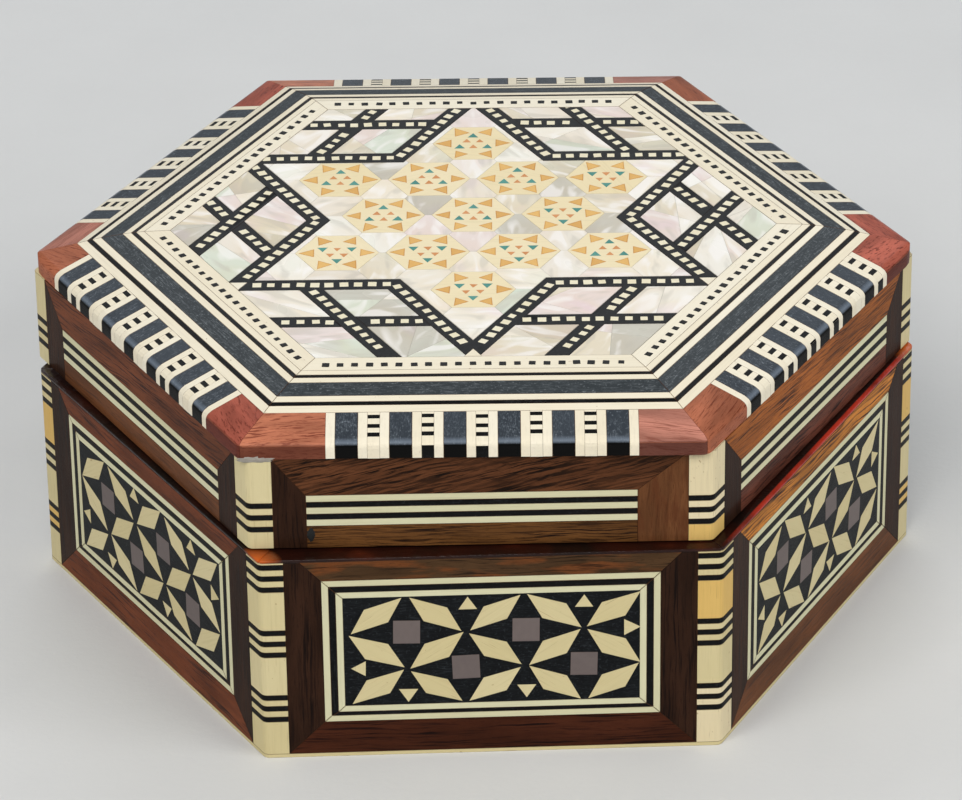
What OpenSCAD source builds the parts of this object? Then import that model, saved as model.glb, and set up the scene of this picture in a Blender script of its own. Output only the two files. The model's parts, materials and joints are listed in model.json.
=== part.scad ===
// Hexagonal inlaid wooden trinket box with a hinged lid.
// Millimetres, +Z up, origin at the centre of the underside, front face towards -Y.
// Wooden core boards carry a 1.2 mm skin of bone, ebony, rosewood and shell inlay.

/* [Box] */
// Length of one side of the hexagonal base
side = 75; // [72:0.5:80]
// Height of the base, from the underside to its top edge
base_h = 38; // [36:0.5:44]
// Thickness of the wooden core walls
wall_t = 6; // [5:0.5:7]
// Thickness of the inlay skin on every face
skin_t = 1.2; // [1:0.1:1.5]
// Thickness of the bottom board
floor_t = 3; // [2.5:0.5:4]
// Rounding of the six upright edges
edge_r = 1.25; // [1:0.25:2.5]

/* [Lid] */
// Length of one side of the lid's walls
lid_side = 75; // [72:0.1:75]
// Height of the lid's walls
lid_wall_h = 16.7; // [15:0.1:20]
// Gap between the lid and the base
seam = 0.3; // [0.2:0.05:0.4]
// How far the lid sits back on the base
lid_back = 2.8; // [1.8:0.1:2.8]
// How far the top's inlay sits forward of the lid's walls
top_forward = 0.4; // [0:0.1:0.5]
// How far the lid sits to the left
lid_left = 0.3; // [0:0.1:0.5]
// Clockwise twist of the lid on the base, in degrees
lid_twist = 1.0; // [0:0.1:1.2]
// Further clockwise twist of the top's inlay, in degrees
inlay_twist = 0.9; // [0:0.1:1]
// Rise of the domed top from the walls to the flat centre
dome_h = 7; // [6.8:0.1:7.4]

/* [Corner posts] */
// Width of a corner post on each face
post_w = 4; // [3.5:0.1:4.5]
// Height of a black band
band_h = 1; // [0.7:0.1:1]
// Distance from one black band to the next in a group of three
band_pitch = 2.1; // [1.9:0.1:2.3]
// Distance from one group of bands to the next on the base
group_pitch = 12.5; // [12:0.1:13]

/* [Side faces] */
// Thickness of the bone line round the foot
foot_t = 0.7; // [0.4:0.1:0.8]
// Thickness of the lacquered strip on the base's top edge
rim_t = 0.5; // [0.4:0.1:0.7]
// Width of one line of the frame round the mosaic
line_w = 1.13; // [1:0.01:1.2]
// Height of the base's bottom rail
low_rail_h = 6.1; // [5.5:0.1:6.5]
// Height of the base's top rail
top_rail_h = 3.6; // [3:0.1:4]
// Width of a dark upright stile beside a post
stile_w = 6; // [5.5:0.1:6.5]
// Height of the lid's bottom rail
lid_low_rail_h = 4.1; // [4:0.1:5]
// Height of a bone line on the lid's walls
lid_bone_h = 1.2; // [1.2:0.05:1.3]
// Height of a black line on the lid's walls
lid_black_h = 1.05; // [0.8:0.05:1.05]

/* [Lid edge moulding] */
// How far the moulding stands out past the lid's walls
rim_over = 0.15; // [0.1:0.05:0.3]
// Width of a cream strip across the moulding
rim_cream_w = 1.55; // [1.4:0.05:1.6]
// Width of a black block
rim_black_w = 3.65; // [3.4:0.05:3.7]
// Width of a chequered strip
rim_check_w = 1.95; // [1.8:0.05:2]

/* [Star field] */
// How far the star outline sits behind the centre of the top
star_back = 3; // [2:0.1:3]
// Distance from the centre to the near edge of an outline strip
star_in = 21.1; // [20.8:0.1:21.2]
// Width of a black and cream strip
strip_w = 3.5; // [3.2:0.1:3.6]
// Distance between parallel strips
strip_gap = 12.7; // [12.4:0.1:12.8]
// Size of a cream square in a strip
square_w = 1.45; // [1.2:0.05:1.5]
// Distance from square to square, and from dot to dot in the border
square_pitch = 2.4; // [2.3:0.05:2.6]
// Distance between the centres of neighbouring small stars
star_pitch = 15.3; // [15:0.1:15.4]
// How far the thirteen small stars sit behind the centre
stars_back = 4.5; // [4:0.1:4.6]
// Radius of a small star's cream hexagon to its corners
star_r = 7.1; // [6.8:0.1:7.1]
// Distance between the small triangles at the heart of a small star
heart_pitch = 2.4; // [2.2:0.1:2.4]

/* [Hinges] */
// Distance of each hinge from the middle of the back
hinge_x = 20; // [16:0.5:21]
// Length of a hinge
hinge_l = 18; // [16:0.5:18]
// Radius of the knuckles
knuckle_r = 1.5; // [1.4:0.05:1.5]
// Radius of the hinge pin
pin_r = 0.7; // [0.6:0.05:0.75]
// Thickness of a hinge leaf
leaf_t = 0.8; // [0.7:0.05:0.8]

/* [Lining] */
// Thickness of the velvet lining
lining_t = 0.8; // [0.6:0.1:1]

/* [Hidden] */

ap = side * cos(30);
core_ap = ap - skin_t;
hollow_ap = core_ap - wall_t;
lid_ap = lid_side * cos(30);
lid_core_ap = lid_ap - skin_t;
lid_hollow_ap = lid_core_ap - wall_t + 0.2;
lid_z = base_h + seam;
lid_top_z = lid_z + lid_wall_h;
top_z = lid_top_z + dome_h;
joint = 0.05;
glue = 0.02;
post_r = side;
rail_top = base_h - rim_t;
frame_low = foot_t + low_rail_h;
frame_high = rail_top - top_rail_h;
frame_half = side / 2 - post_w - stile_w;
field_low = frame_low + 3 * line_w - 0.4;
field_high = frame_high - 3 * line_w;
field_half = frame_half - 3 * line_w;
cell_w = field_half * 2 / 5;
cell_h = (field_high - field_low) / 3;
lid_line_low = lid_z + lid_low_rail_h;
lid_line_high = lid_line_low + 3 * lid_bone_h + 2 * lid_black_h;
mould_ap = lid_ap + rim_over;
mould_in = 58.4;
field_ap = 44.6;
border = [58.4, 56.9, 56.1, 54.8, 51.6, 50.35, 49.6, 48.4, 44.6];
dot_ap = 46.8;
axis_y = 70.1;
axis_z = base_h + seam / 2;
star_out = star_in + strip_w;
star_mid = star_in + strip_w / 2;
// Moulding repeats on the six sides, from the front face anticlockwise seen from above
rim_blocks = [6, 6, 6, 6, 6, 7];
// Chequered strips past the last black block on each side
rim_tail = [0, 1, 0, 0, 0, 0];
// Size of the repeats on each side against the widths above, and how far they sit off its middle
rim_fit = [1, 0.95, 1, 1, 1, 0.94];
rim_shift = [1.4, 1.2, 0, 0, 0, -1.4];
// Rounding of the moulding's corners seen from above, from the right corner anticlockwise
rim_round = [6, 3, 3, 6, 2, 2];
$fn = 48;

function dir(a) = [cos(a), sin(a)];
// Height of the domed surface at a distance from the centre, across the flats
function skin_z(a) = a <= mould_in ? top_z - 0.0121 * pow(a - field_ap, 2)
    : top_z - 2.304 - 0.264 * (a - mould_in);
// Height of the lid board's upper face under the inlay
function board_z(a) = a <= 51.6 ? top_z - 1.25 - 0.09 * (a - field_ap)
    : a <= mould_in ? top_z - 1.88 - 0.247 * (a - 51.6) : top_z - 3.56 - 0.287 * (a - mould_in);
// Point where a line p from the centre facing v+30 meets a line q from it facing v-30
function cross_pt(v, p, q) = 4 / 3 * ((p - q / 2) * dir(v + 30) + (q - p / 2) * dir(v - 30));
// Rounded corner of a hexagon of radius r at angle v
function corner_arc(r, v, e = edge_r) = [for (t = [-30:15:30]) (r - e / cos(30)) * dir(v) + e * dir(v + t)];
function hex_pts(a) = [for (k = [0:5]) a / cos(30) * dir(60 * k)];
function round_hex(a, e = edge_r) = [for (k = [0:5]) each corner_arc(a / cos(30), 60 * k, e)];

module all_sides() {
    for (k = [0:5])
        rotate([0, 0, 60 * k])
            children();
}
module in_lid() {
    translate([-lid_left, lid_back, 0])
        rotate([0, 0, -lid_twist])
            children();
}
module in_top() {
    translate([-lid_left, lid_back - top_forward, 0])
        rotate([0, 0, -lid_twist - inlay_twist])
            children();
}
// One mitred sixth of the plan, on the front side
module sixth() {
    translate([0, 0, -10])
        linear_extrude(100)
            polygon([[0, -joint], [-57.735, -100 - joint], [57.735, -100 - joint]]);
}
// Bar along the front side with a profile of [distance out, height] points
module bar(profile, x0, x1) {
    translate([x0, 0, 0])
        rotate([90, 0, 90])
            linear_extrude(x1 - x0)
                polygon([for (q = profile) [-q[0], q[1]]]);
}
// Flat skin on the front side, drawn in [along, up] and laid from a0 outwards
module skin(a0, t) {
    translate([0, -a0, 0])
        rotate([90, 0, 0])
            linear_extrude(t)
                children();
}
module mitred_bar(profile) {
    all_sides()
        intersection() {
            bar(profile, -50, 50);
            sixth();
        }
}
// One slice of a corner post round the upright edge at angle 0
module post_slice(r, z0, z1, w) {
    n = dir(30);
    a = [r, 0] + w * dir(120);
    b = a - skin_t * n;
    translate([0, 0, z0])
        linear_extrude(z1 - z0)
            polygon(concat(corner_arc(r, 0),
                [a, b, [r - skin_t / cos(30), 0], [b[0], -b[1]], [a[0], -a[1]]]));
}
module post_stack(r, bands, z_low, z_high, black) {
    n = len(bands);
    for (v = [0:5])
        rotate([0, 0, 60 * v])
            if (black)
                for (z = bands)
                    post_slice(r, z, z + band_h, post_w);
            else
                for (i = [0:n]) {
                    low = i == n ? z_low : bands[i] + band_h;
                    high = i == 0 ? z_high : bands[i - 1];
                    post_slice(r, low, high, post_w);
                }
}
function base_bands() = [for (g = [0:2]) for (i = [0:2])
    rail_top - 1.3 - g * group_pitch - i * band_pitch];
function lid_bands() = [for (i = [0:2]) lid_line_high - 2.3 - i * (band_pitch + 0.1)];

module hinge_recess(low) {
    z0 = low ? base_h - leaf_t : lid_z - 1;
    z1 = low ? base_h + 1 : lid_z + leaf_t;
    for (s = [-1, 1])
        translate([s * hinge_x - hinge_l / 2 - 0.1, 59.4, z0])
            cube([hinge_l + 0.2, 10, z1 - z0]);
}

// Base
module base_floor_board() {
    color("saddlebrown")
        linear_extrude(floor_t)
            polygon(hex_pts(core_ap));
}
module base_wall() {
    intersection() {
        bar([[hollow_ap, floor_t], [core_ap, floor_t], [core_ap, rail_top], [hollow_ap, rail_top]],
            -50, 50);
        sixth();
    }
}
module base_walls() {
    color("saddlebrown")
        for (k = [0, 1, 2, 4, 5])
            rotate([0, 0, 60 * k])
                base_wall();
}
module base_wall_back() {
    color("saddlebrown")
        difference() {
            rotate([0, 0, 180])
                base_wall();
            hinge_recess(true);
        }
}
module base_foot_line() {
    color("wheat")
        linear_extrude(foot_t)
            difference() {
                polygon(round_hex(ap));
                polygon(hex_pts(core_ap));
            }
}
module base_top_strips() {
    color("darkred")
        for (k = [0:5])
            difference() {
                rotate([0, 0, 60 * k])
                    intersection() {
                        translate([0, 0, rail_top])
                            linear_extrude(rim_t)
                                difference() {
                                    polygon(round_hex(ap));
                                    polygon(hex_pts(hollow_ap));
                                }
                        sixth();
                    }
                if (k == 3)
                    hinge_recess(true);
            }
}
module base_post_blocks() {
    color("wheat")
        post_stack(post_r, base_bands(), foot_t, rail_top, false);
}
module base_post_bands() {
    color("black")
        post_stack(post_r, base_bands(), foot_t, rail_top, true);
}
module base_stiles() {
    h = side / 2 - post_w;
    color("#3a1f18")
        all_sides()
            for (s = [0, 1])
                mirror([s, 0, 0])
                    skin(core_ap, skin_t)
                        polygon([[frame_half, frame_low], [h, foot_t], [h, rail_top],
                            [h - 2.6, rail_top], [frame_half, frame_high]]);
}
module base_top_rails() {
    h = side / 2 - post_w - 2.6;
    color("#6b4226")
        for (k = [0:5])
            difference() {
                rotate([0, 0, 60 * k])
                    skin(core_ap, skin_t)
                        polygon([[-frame_half, frame_high], [frame_half, frame_high],
                            [h, rail_top], [-h, rail_top]]);
                if (k == 3)
                    hinge_recess(true);
            }
}
module base_bottom_rails() {
    h = side / 2 - post_w;
    color("#5a2a18")
        all_sides()
            skin(core_ap, skin_t)
                polygon([[-frame_half, frame_low], [-h, foot_t], [h, foot_t], [frame_half, frame_low]]);
}
// One mitred line of the frame, i = 0 outside to 2 inside
module frame_line(i) {
    low = [0, line_w, 2 * line_w - 0.4, 3 * line_w - 0.4];
    x0 = frame_half - i * line_w;
    x1 = x0 - line_w;
    z0 = frame_low + low[i];
    z1 = frame_low + low[i + 1];
    y0 = frame_high - i * line_w;
    y1 = y0 - line_w;
    all_sides()
        skin(core_ap, skin_t) {
            polygon([[-x0 + joint, y0], [x0 - joint, y0], [x1 - joint, y1], [-x1 + joint, y1]]);
            polygon([[-x0 + joint, z0], [x0 - joint, z0], [x1 - joint, z1], [-x1 + joint, z1]]);
            for (s = [-1, 1])
                polygon([[s * x0, z0 + joint], [s * x0, y0 - joint],
                    [s * x1, y1 - joint], [s * x1, z1 + joint]]);
        }
}
module base_frame_outer() {
    color("ivory")
        frame_line(0);
}
module base_frame_black() {
    color("black")
        frame_line(1);
}
module base_frame_inner() {
    color("ivory")
        frame_line(2);
}
// Lozenges run from node to node of a diagonal lattice, five across and three high
module lozenges_2d() {
    for (r = [0:2])
        for (j = [0:4])
            translate([(j - 2) * cell_w, field_low + (r + 0.5) * cell_h])
                mirror([(j + r) % 2, 0])
                    polygon([[-0.45 * cell_w, -0.48 * cell_h], [0.2 * cell_w, -0.19 * cell_h],
                        [0.45 * cell_w, 0.48 * cell_h], [-0.2 * cell_w, 0.19 * cell_h]]);
}
module squares_2d() {
    for (q = [[-1.5, 2], [0.5, 2], [-0.5, 1], [1.5, 1]])
        translate([q[0] * cell_w, field_low + q[1] * cell_h])
            square(0.31 * (cell_w + 0.7 * cell_h) - 0.02, center = true);
}
module triangles_2d() {
    for (x = [-0.5, 1.5])
        polygon([[x * cell_w - 1.55, field_high - 2.7], [x * cell_w + 1.55, field_high - 2.7],
            [x * cell_w, field_high - 0.25]]);
    for (x = [-1.5, 0.5])
        polygon([[x * cell_w - 1.6, field_low + 2.9], [x * cell_w + 1.6, field_low + 2.9],
            [x * cell_w, field_low + 0.35]]);
    x1 = field_half - 3.1;
    z1 = field_low + 2 * cell_h;
    x2 = 2.9 - field_half;
    z2 = field_low + cell_h;
    polygon([[x1, z1 - 1.6], [x1, z1 + 1.6], [x1 + 2.8, z1]]);
    polygon([[x2, z2 - 1.5], [x2, z2 + 1.5], [x2 - 2.5, z2]]);
}
module mosaic_ground() {
    color("#16181c")
        all_sides()
            skin(core_ap, skin_t)
                difference() {
                    translate([-field_half, field_low])
                        square([2 * field_half, field_high - field_low]);
                    lozenges_2d();
                    squares_2d();
                    triangles_2d();
                }
}
module mosaic_lozenges() {
    color("wheat")
        all_sides()
            skin(core_ap, skin_t)
                lozenges_2d();
}
module mosaic_squares() {
    color("#7a6f70")
        all_sides()
            skin(core_ap, skin_t)
                squares_2d();
}
module mosaic_triangles() {
    color("wheat")
        all_sides()
            skin(core_ap, skin_t)
                triangles_2d();
}
module base_lining_floor() {
    color("firebrick")
        translate([0, 0, floor_t])
            linear_extrude(lining_t)
                polygon(hex_pts(hollow_ap));
}
module base_lining_walls() {
    z0 = floor_t + lining_t;
    z1 = rail_top - 1;
    a = hollow_ap - lining_t;
    color("firebrick")
        mitred_bar([[a, z0], [hollow_ap, z0], [hollow_ap, z1], [a, z1]]);
}
// Hinges
module leaf(low) {
    z0 = low ? base_h - leaf_t : lid_z;
    third = hinge_l / 3;
    for (s = [-1, 1])
        translate([s * hinge_x, 0, 0])
            difference() {
                union() {
                    translate([-hinge_l / 2, 59.5, z0])
                        cube([hinge_l, 7.4, leaf_t]);
                    for (i = low ? [-1, 1] : [0])
                        translate([(i - 0.5) * third + 0.1, 0, 0]) {
                            translate([0, 60, z0])
                                cube([third - 0.2, axis_y - 60.95, leaf_t]);
                            translate([0, axis_y, axis_z])
                                rotate([0, 90, 0])
                                    cylinder(r = knuckle_r, h = third - 0.2);
                        }
                }
                translate([-hinge_l, axis_y, axis_z])
                    rotate([0, 90, 0])
                        cylinder(r = pin_r + 0.05, h = 2 * hinge_l);
                for (x = [-5.5, 5.5])
                    translate([x, 62.4, z0 - 1])
                        cylinder(r = 1.15, h = leaf_t + 2);
            }
}
module screws(low) {
    for (s = [-1, 1])
        for (x = [-5.5, 5.5])
            translate([s * hinge_x + x, 62.4, low ? base_h - leaf_t : lid_z])
                mirror([0, 0, low ? 0 : 1])
                    translate([0, 0, low ? 0 : -leaf_t]) {
                        cylinder(r = 1.1, h = leaf_t);
                        translate([0, 0, -4.5])
                            cylinder(r = 0.6, h = 4.6);
                    }
}
module base_hinge_leaves() {
    color("goldenrod")
        leaf(true);
}
module base_hinge_screws() {
    color("gold")
        screws(true);
}
module hinge_pins() {
    color("gray")
        for (s = [-1, 1])
            translate([s * hinge_x - hinge_l / 2 - 0.3, axis_y, axis_z])
                rotate([0, 90, 0])
                    cylinder(r = pin_r, h = hinge_l + 0.6);
}
// Lid
module hex_slab(a, z, t) {
    translate([0, 0, z])
        linear_extrude(t)
            polygon(hex_pts(a));
}
module lid_board() {
    color("saddlebrown")
        in_top()
            hull() {
                hex_slab(mould_ap - 1.3, lid_top_z, board_z(mould_ap - 1.3) - lid_top_z);
                hex_slab(mould_in, lid_top_z, board_z(mould_in) - lid_top_z);
                hex_slab(51.6, lid_top_z, board_z(51.6) - lid_top_z);
                hex_slab(field_ap, lid_top_z, board_z(field_ap) - lid_top_z);
            }
}
module lid_wall() {
    intersection() {
        bar([[lid_hollow_ap, lid_z], [lid_core_ap, lid_z], [lid_core_ap, lid_top_z],
            [lid_hollow_ap, lid_top_z]], -50, 50);
        sixth();
    }
}
module lid_walls() {
    color("saddlebrown")
        in_lid()
            for (k = [0, 1, 2, 4, 5])
                rotate([0, 0, 60 * k])
                    lid_wall();
}
module lid_wall_back() {
    color("saddlebrown")
        difference() {
            in_lid()
                rotate([0, 0, 180])
                    lid_wall();
            hinge_recess(false);
        }
}
module lid_post_blocks() {
    color("wheat")
        in_lid()
            post_stack(lid_side, lid_bands(), lid_z, lid_top_z, false);
}
module lid_post_bands() {
    color("black")
        in_lid()
            post_stack(lid_side, lid_bands(), lid_z, lid_top_z, true);
}
// Left and right ends of the bone lines on lid side k
function line_left(k) = k == 0 ? -frame_half - 0.6 : -frame_half;
function line_right(k) = k == 0 ? frame_half - 2.2 : frame_half;
module lid_stiles() {
    h = lid_side / 2 - post_w;
    color("#3a1f18")
        difference() {
            in_lid()
                for (k = [0:5])
                    for (s = [-1, 1]) {
                        e = s < 0 ? -line_left(k) : line_right(k);
                        rotate([0, 0, 60 * k])
                            mirror([s < 0 ? 1 : 0, 0, 0])
                                skin(lid_core_ap, skin_t)
                                    polygon([[e, lid_z], [h, lid_z], [h, lid_top_z], [e, lid_line_high]]);
                    }
            hinge_recess(false);
        }
}
module lid_top_rails() {
    h = lid_side / 2 - post_w;
    color("#5a3320")
        in_lid()
            for (k = [0:5])
                rotate([0, 0, 60 * k])
                    skin(lid_core_ap, skin_t)
                        polygon([[line_left(k), lid_line_high], [line_right(k), lid_line_high],
                            [h, lid_top_z], [-h, lid_top_z]]);
}
module lid_bottom_rails() {
    color("#7a4c2a")
        for (k = [0:5])
            difference() {
                in_lid()
                    rotate([0, 0, 60 * k])
                        skin(lid_core_ap, skin_t)
                            translate([line_left(k), lid_z])
                                square([line_right(k) - line_left(k), lid_low_rail_h]);
                if (k == 3)
                    hinge_recess(false);
            }
}
module lid_lines(first, count, h) {
    step = lid_bone_h + lid_black_h;
    in_lid()
        for (k = [0:5])
            rotate([0, 0, 60 * k])
                for (i = [0:count - 1])
                    skin(lid_core_ap, skin_t)
                        translate([line_left(k), lid_line_low + first + i * step])
                            square([line_right(k) - line_left(k), h]);
}
module lid_bone_lines() {
    color("ivory")
        lid_lines(0, 3, lid_bone_h);
}
module lid_black_lines() {
    color("black")
        lid_lines(lid_bone_h, 2, lid_black_h);
}

// Moulding round the lid's edge: a bent skin over the board's edge and slope
function mould_profile() = [[mould_in, board_z(mould_in) + glue],
    [mould_ap - 1.28, board_z(mould_ap - 1.28) + glue], [mould_ap - 1.28, lid_top_z],
    [mould_ap, lid_top_z], [mould_ap, skin_z(mould_ap) - 1.1],
    [mould_ap - 0.08, skin_z(mould_ap) - 0.6], [mould_ap - 0.45, skin_z(mould_ap) - 0.15],
    [mould_ap - 1.2, skin_z(mould_ap - 1.2) - 0.04], [mould_in, skin_z(mould_in)]];
rim_pitch = rim_black_w + rim_check_w + 2 * rim_cream_w;
function run_len(k) = rim_fit[k] * (rim_blocks[k] * rim_pitch - rim_check_w
    + rim_tail[k] * (rim_check_w + rim_cream_w));
function run_start(k) = rim_shift[k] - run_len(k) / 2;
// Start of the repeat i on side k, and the point x further along it
function cell_x(k, i, x = 0) = run_start(k) + rim_fit[k] * (i * rim_pitch + x);
function rim_outline() = [for (c = [0:5]) each corner_arc(mould_ap / cos(30), 60 * c, rim_round[c])];
module mould_bar(x0, x1) {
    bar(mould_profile(), x0, x1);
}
module moulding_corners() {
    color("#9c4a3a")
        in_top()
            for (k = [0:5])
                for (s = [-1, 1])
                    intersection() {
                        rotate([0, 0, 60 * k])
                            intersection() {
                                mould_bar(s < 0 ? -50 : run_start(k) + run_len(k), s < 0 ? run_start(k) : 50);
                                sixth();
                            }
                        linear_extrude(80)
                            polygon(rim_outline());
                    }
}
module moulding_cream_strips() {
    color("wheat")
        in_top()
            for (k = [0:5])
                rotate([0, 0, 60 * k]) {
                    for (i = [0:rim_blocks[k] - 1])
                        for (x = [0, rim_cream_w + rim_black_w])
                            mould_bar(cell_x(k, i, x), cell_x(k, i, x + rim_cream_w));
                    if (rim_tail[k] > 0)
                        mould_bar(run_start(k) + run_len(k) - rim_fit[k] * rim_cream_w,
                            run_start(k) + run_len(k));
                }
}
module moulding_black_blocks() {
    color("#20242c")
        in_top()
            for (k = [0:5])
                rotate([0, 0, 60 * k])
                    for (i = [0:rim_blocks[k] - 1])
                        mould_bar(cell_x(k, i, rim_cream_w), cell_x(k, i, rim_cream_w + rim_black_w));
}
module moulding_checks() {
    color("tan")
        in_top()
            for (k = [0:5])
                rotate([0, 0, 60 * k])
                    for (i = [0:rim_blocks[k] - 2 + rim_tail[k]])
                        mould_bar(cell_x(k, i + 1, -rim_check_w), cell_x(k, i + 1));
}
// Bands of the domed border, numbered from the outside
module band(i) {
    a = border[i];
    b = border[i + 1];
    mitred_bar([[b, board_z(b) + glue], [a, board_z(a) + glue], [a, skin_z(a)], [b, skin_z(b)]]);
}
module border_bone_outer() {
    color("ivory")
        in_top()
            band(0);
}
module border_black_outer() {
    color("black")
        in_top()
            band(1);
}
module border_bone_second() {
    color("ivory")
        in_top()
            band(2);
}
module border_black_wide() {
    color("#1c2026")
        in_top()
            band(3);
}
module border_bone_third() {
    color("ivory")
        in_top()
            band(4);
}
module border_black_inner() {
    color("black")
        in_top()
            band(5);
}
module border_bone_inner() {
    color("ivory")
        in_top()
            band(6);
}
module dots(grow) {
    n = floor((dot_ap * tan(30) - 1.5) / square_pitch);
    for (i = [-n:n])
        translate([i * square_pitch - 0.55 - grow, -dot_ap - 0.55 - grow, top_z - 0.7])
            cube([1.1 + 2 * grow, 1.1 + 2 * grow, 0.64 + 5 * grow]);
}
module border_dotted() {
    a = border[7];
    b = field_ap;
    color("ivory")
        in_top()
            all_sides()
                difference() {
                    intersection() {
                        bar([[b, board_z(b) + glue], [a, board_z(a) + glue], [a, skin_z(a)], [b, skin_z(b)]],
                            -50, 50);
                        sixth();
                    }
                    dots(0.02);
                }
}
module border_dots() {
    color("black")
        in_top()
            all_sides()
                dots(0);
}

// Centre field
module arm_2d(k, s) {
    t = 30 + 60 * k;
    u = t + 30 * s;
    polygon([2 * star_in * dir(t), 2 * star_out * dir(t),
        star_out / cos(30) * dir(u), star_in / cos(30) * dir(u)]);
}
module cross_strip_2d(v, p0, p1, q0, q1) {
    polygon([cross_pt(v, p0, q0), cross_pt(v, p1, q0), cross_pt(v, p1, q1), cross_pt(v, p0, q1)]);
}
module tip_2d(k) {
    t = 30 + 60 * k;
    reach = field_ap - star_back * sin(t);
    end = reach * dir(t);
    side_step = 1.5 * dir(t + 90);
    polygon([(reach - 2.6) * dir(t), end + side_step, end - side_step]);
}
module tips_2d() {
    for (k = [3, 4, 5])
        tip_2d(k);
}
// Row of squares along the strip that faces n at its middle distance
module square_row(n, d, from, to, s) {
    rotate([0, 0, n])
        for (i = [0:floor((to - from) / square_pitch)])
            translate([d, s * (from + i * square_pitch)])
                square(square_w, center = true);
}
module squares_in_strips() {
    for (t = [30:60:330])
        for (s = [-1, 1])
            square_row(t + 60 * s, star_mid, 14.4, 14.4 + 9 * square_pitch + 0.1, -s);
    for (v = [0:60:300]) {
        square_row(v - 30, star_mid + strip_gap, 8.9, 31.5, 1);
        square_row(v + 30, star_mid + strip_gap, 8.9, 17.6, -1);
        square_row(v + 30, star_mid + strip_gap, 23.6, 31.5, -1);
    }
}
module strips_2d() {
    g0 = star_in + strip_gap;
    g1 = star_out + strip_gap;
    for (k = [0:5])
        for (s = [-1, 1])
            arm_2d(k, s);
    for (v = [0:60:300]) {
        cross_strip_2d(v, star_out, 60, g0, g1);
        cross_strip_2d(v, g0, g1, star_out, g0);
        cross_strip_2d(v, g0, g1, g1, 60);
    }
}
// The big star's middle, and four panes between the strips at each corner of the field
module shell_2d() {
    g0 = star_in + strip_gap;
    g1 = star_out + strip_gap;
    r = star_in - joint;
    spans = [[star_out + joint, g0 - joint], [g1 + joint, 60]];
    polygon([for (k = [0:11]) (k % 2 == 0 ? r / cos(30) : 2 * r) * dir(30 * k)]);
    for (v = [0:60:300])
        for (a = spans)
            for (b = spans)
                cross_strip_2d(v, a[0], a[1], b[0], b[1]);
}
module placed_2d() {
    translate([0, star_back])
        children();
}
module inner_2d() {
    polygon(hex_pts(field_ap - joint));
}
module star_strips() {
    color("black")
        in_top()
            translate([0, 0, top_z - 1.23])
                linear_extrude(1.23)
                    difference() {
                        intersection() {
                            placed_2d()
                                strips_2d();
                            inner_2d();
                        }
                        placed_2d()
                            tips_2d();
                        placed_2d()
                            squares_in_strips();
                    }
}
module star_strip_squares() {
    color("ivory")
        in_top()
            translate([0, 0, top_z - 1.23])
                linear_extrude(1.23)
                    intersection() {
                        difference() {
                            placed_2d()
                                squares_in_strips();
                            placed_2d()
                                tips_2d();
                        }
                        inner_2d();
                    }
}
module star_tip_pieces() {
    color("wheat")
        in_top()
            translate([0, 0, top_z - 1.23])
                linear_extrude(1.23)
                    intersection() {
                        placed_2d()
                            tips_2d();
                        inner_2d();
                    }
}
// Centres of the thirteen small stars: one, its six neighbours, and one in each point of the big star
function star_centres() = concat([[0, 0]], [for (k = [0:5]) star_pitch * dir(60 * k)],
    [for (k = [0:5]) star_pitch * sqrt(3) * dir(30 + 60 * k)]);
module small_star_2d(r) {
    polygon([for (k = [0:5]) r * dir(60 * k)]);
}
module point_triangle_2d(r) {
    polygon([[r - 0.4, 0], [r - 3.3, 1.5], [r - 3.3, -1.5]]);
}
module small_triangle_2d(r) {
    polygon([for (t = [90, 210, 330]) r * dir(t)]);
}
// Six small triangles that make one larger triangle: the corners green, the rest amber
module heart_2d(up, corners) {
    d = heart_pitch / sqrt(3);
    rotate([0, 0, up ? 0 : 180])
        for (k = [0:2])
            rotate([0, 0, 120 * k])
                if (corners)
                    translate([0, 2 * d])
                        rotate([0, 0, -120 * k])
                            small_triangle_2d(0.98);
                else
                    translate([0, -d])
                        rotate([0, 0, -120 * k])
                            small_triangle_2d(0.8);
}
module over_stars() {
    c = star_centres();
    translate([0, stars_back])
        for (i = [0:12])
            translate(c[i]) {
                $up = i == 0 || i == 2 || i == 3 || i == 4 || i == 8 || i == 9 || i == 12;
                children();
            }
}
module amber_2d() {
    over_stars() {
        for (k = [0:5])
            rotate([0, 0, 60 * k])
                point_triangle_2d(star_r);
        heart_2d($up, false);
    }
}
module green_2d() {
    over_stars()
        heart_2d($up, true);
}
module small_stars() {
    color("wheat")
        in_top()
            translate([0, 0, top_z - 1.23])
                linear_extrude(1.23)
                    difference() {
                        over_stars()
                            small_star_2d(star_r);
                        amber_2d();
                        green_2d();
                    }
}
module small_star_amber() {
    color("darkorange")
        in_top()
            translate([0, 0, top_z - 1.23])
                linear_extrude(1.23)
                    amber_2d();
}
module small_star_green() {
    color("teal")
        in_top()
            translate([0, 0, top_z - 1.23])
                linear_extrude(1.23)
                    green_2d();
}
module shell_panels() {
    color("#e4dccb")
        in_top()
            translate([0, 0, top_z - 1.23])
                linear_extrude(1.23)
                    difference() {
                        intersection() {
                            placed_2d()
                                shell_2d();
                            inner_2d();
                        }
                        placed_2d()
                            tips_2d();
                        over_stars()
                            small_star_2d(star_r);
                    }
}
module lid_lining_top() {
    color("firebrick")
        in_lid()
            translate([0, 0, lid_top_z - lining_t])
                linear_extrude(lining_t)
                    polygon(hex_pts(lid_hollow_ap));
}
module lid_lining_walls() {
    z0 = lid_z + 1;
    z1 = lid_top_z - lining_t;
    a = lid_hollow_ap - lining_t;
    color("firebrick")
        in_lid()
            mitred_bar([[a, z0], [lid_hollow_ap, z0], [lid_hollow_ap, z1], [a, z1]]);
}
module lid_hinge_leaves() {
    color("goldenrod")
        leaf(false);
}
module lid_hinge_screws() {
    color("gold")
        screws(false);
}

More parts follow.
